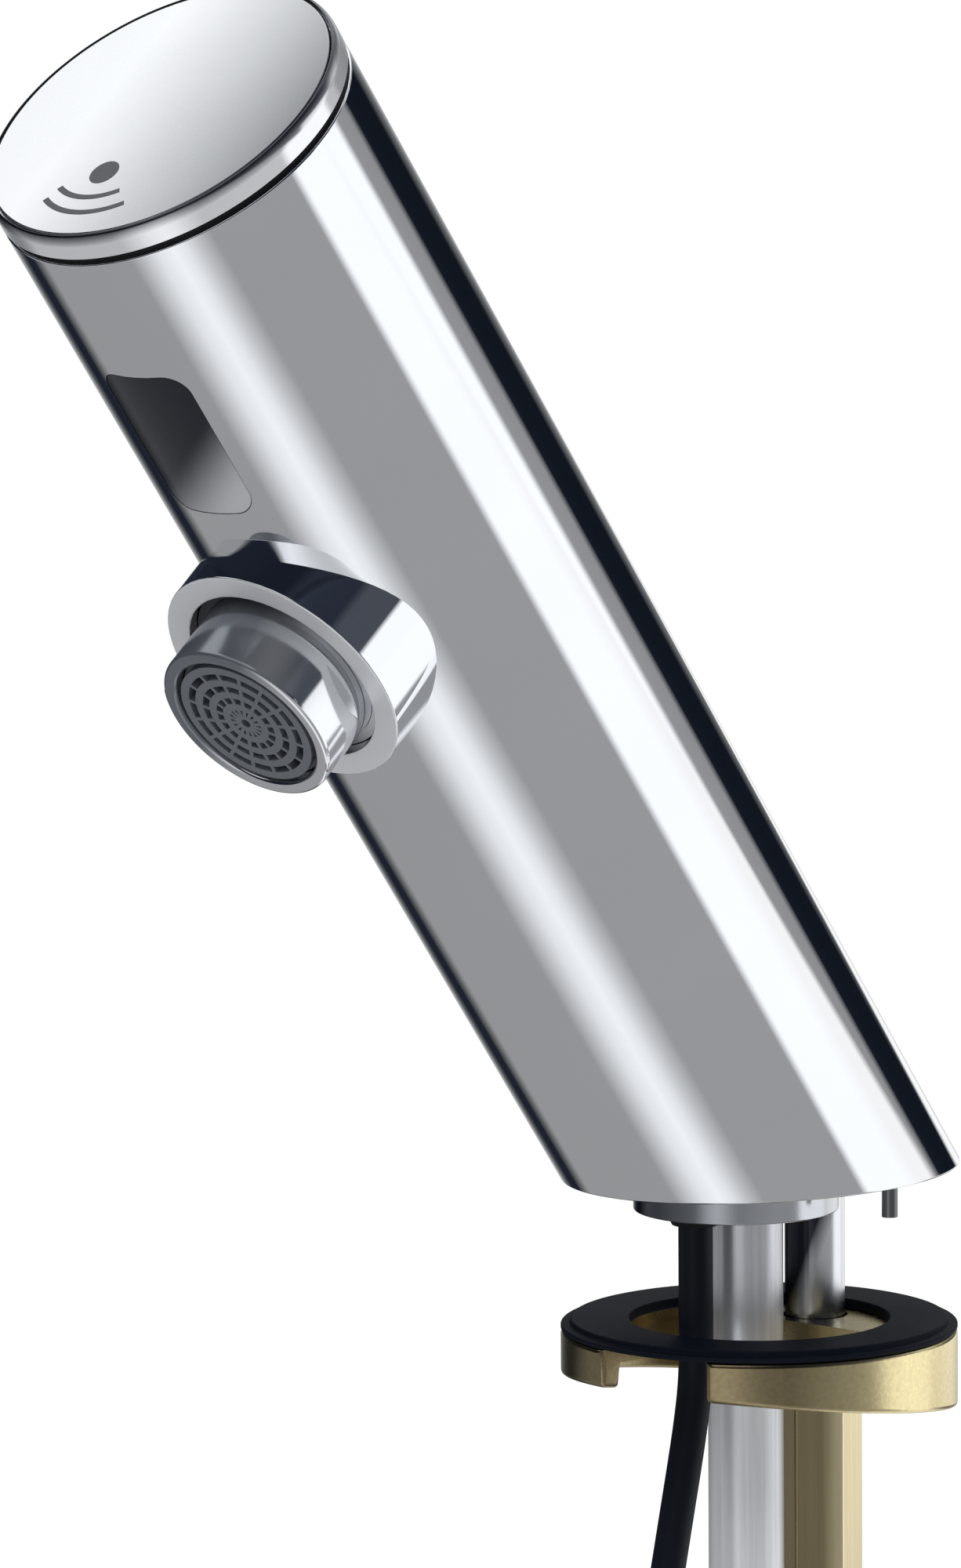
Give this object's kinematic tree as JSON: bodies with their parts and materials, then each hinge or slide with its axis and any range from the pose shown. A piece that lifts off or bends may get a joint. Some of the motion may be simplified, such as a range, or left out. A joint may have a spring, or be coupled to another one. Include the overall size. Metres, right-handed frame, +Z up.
{
  "type": "sensor basin tap",
  "caption": "Round leaning basin tap with a short spout, infrared sensor window, capped top, supply pipe, cable and horseshoe clamp set below the deck.",
  "frame": {"origin": "where the leaning body's axis crosses the top of the deck, on the foot's flat underside", "axes": "+Z up, -Y towards the basin and the user, +X to the right as seen from the basin"},
  "size_m": [0.0524, 0.1617, 0.3882],
  "materials": {
    "chrome": "mirror polished chrome plate",
    "satin_chrome": "satin chrome disc",
    "plated_metal": "nickel-plated turned metal",
    "cast_brass": "sand-cast and blasted brass",
    "machined_brass": "turned brass",
    "nut_brass": "drawn hexagon brass",
    "copper": "bent copper tube",
    "stainless": "bright stainless steel",
    "screw_steel": "zinc-plated steel",
    "spring_steel": "spring wire",
    "yoke_steel": "plated yoke steel",
    "pipe_steel": "bright plated pipe",
    "stud_steel": "bright stud",
    "contact_gold": "gold-plated contacts",
    "black_rubber": "moulded black rubber",
    "washer_rubber": "black rubber sheet",
    "smoked_plastic": "smoked infrared-clear plastic",
    "black_plastic": "moulded black plastic",
    "grey_plastic": "moulded grey plastic",
    "white_plastic": "natural white plastic",
    "orange_plastic": "orange regulator insert",
    "potting_black": "black potting compound",
    "board_green": "green circuit board",
    "led_emitter": "clear tinted diode",
    "led_receiver": "dark photodiode",
    "cable_black": "black cable jacket"
  },
  "bodies": {
    "tap": {"body_shell": "chrome", "base_plate": "plated_metal", "base_screws": "screw_steel", "anti_twist_pins": "stainless", "cap_body": "chrome", "cap_disc": "satin_chrome", "cap_gasket": "black_rubber", "cap_oring": "black_rubber", "sensor_window": "smoked_plastic", "window_gasket": "black_rubber", "sensor_housing": "black_plastic", "ir_emitter": "led_emitter", "ir_receiver": "led_receiver", "sensor_board": "board_green", "board_screws": "screw_steel", "control_module": "potting_black", "inlet_elbow": "machined_brass", "pipe_oring": "black_rubber", "strainer": "stainless", "check_valve_body": "white_plastic", "check_spring": "spring_steel", "valve_body": "grey_plastic", "diaphragm": "black_rubber", "valve_cover": "stainless", "plunger_spring": "spring_steel", "solenoid_coil": "potting_black", "solenoid_yoke": "yoke_steel", "coil_nut": "screw_steel", "outlet_tube": "copper", "tube_orings": "black_rubber", "spout_nozzle": "plated_metal", "supply_pipe": "pipe_steel", "mounting_stud": "stud_steel", "inner_lead": "cable_black", "cable_gland": "black_rubber", "sensor_cable": "cable_black", "cable_hank": "cable_black", "cable_tie": "black_plastic", "cable_plug": "black_plastic", "plug_contacts": "contact_gold"},
    "poppet": {"check_poppet": "white_plastic"},
    "plunger": {"plunger": "stainless"},
    "diaphragm_insert": {"diaphragm_insert": "white_plastic"},
    "aerator_seal": {"aerator_seal": "black_rubber"},
    "aerator": {"aerator_housing": "chrome", "aerator_insert": "grey_plastic", "flow_regulator": "orange_plastic", "aerator_screen": "stainless"},
    "clamp": {"rubber_washer": "washer_rubber", "horseshoe_clamp": "cast_brass"},
    "nut": {"sleeve_nut": "nut_brass"}
  },
  "joints": [
    {"name": "clamp_slide", "type": "slide", "parent": "tap", "child": "clamp", "axis": [0, 0, 1], "range_m": [-0.01001, 0.01501]},
    {"name": "nut_turn", "type": "hinge", "parent": "clamp", "child": "nut", "pos_m": [0, 0.011, -0.054], "axis": [0, 0, 1], "range_deg": [-2880, 4320]},
    {"name": "aerator_out", "type": "slide", "parent": "tap", "child": "aerator_seal", "axis": [0, -0.7859, -0.6184], "range_m": [0, 0.00601]},
    {"name": "aerator_turn", "type": "hinge", "parent": "aerator_seal", "child": "aerator", "pos_m": [0, -0.07118, 0.09045], "axis": [0, -0.7859, -0.6184], "range_deg": [0, 2160]},
    {"name": "plunger_slide", "type": "slide", "parent": "tap", "child": "plunger", "axis": [0, -0.6184, 0.7859], "range_m": [0, 0.002], "stiffness_N_per_m": 300, "springref_m": -0.003, "deforming": ["plunger_spring"]},
    {"name": "diaphragm_lift", "type": "slide", "parent": "tap", "child": "diaphragm_insert", "axis": [0, -0.6184, 0.7859], "range_m": [0, 0.00121], "deforming": ["diaphragm"]},
    {"name": "poppet_slide", "type": "slide", "parent": "tap", "child": "poppet", "axis": [0, -0.6184, 0.7859], "range_m": [0, 0.002], "stiffness_N_per_m": 60, "springref_m": -0.004, "deforming": ["check_spring"]}
  ],
  "couplings": [
    {"joint": "clamp_slide", "follows": "nut_turn", "m_per_rad": 0.00019894},
    {"joint": "aerator_out", "follows": "aerator_turn", "m_per_rad": 0.00015915},
    {"joint": "diaphragm_lift", "follows": "plunger_slide", "ratio": 0.6}
  ]
}
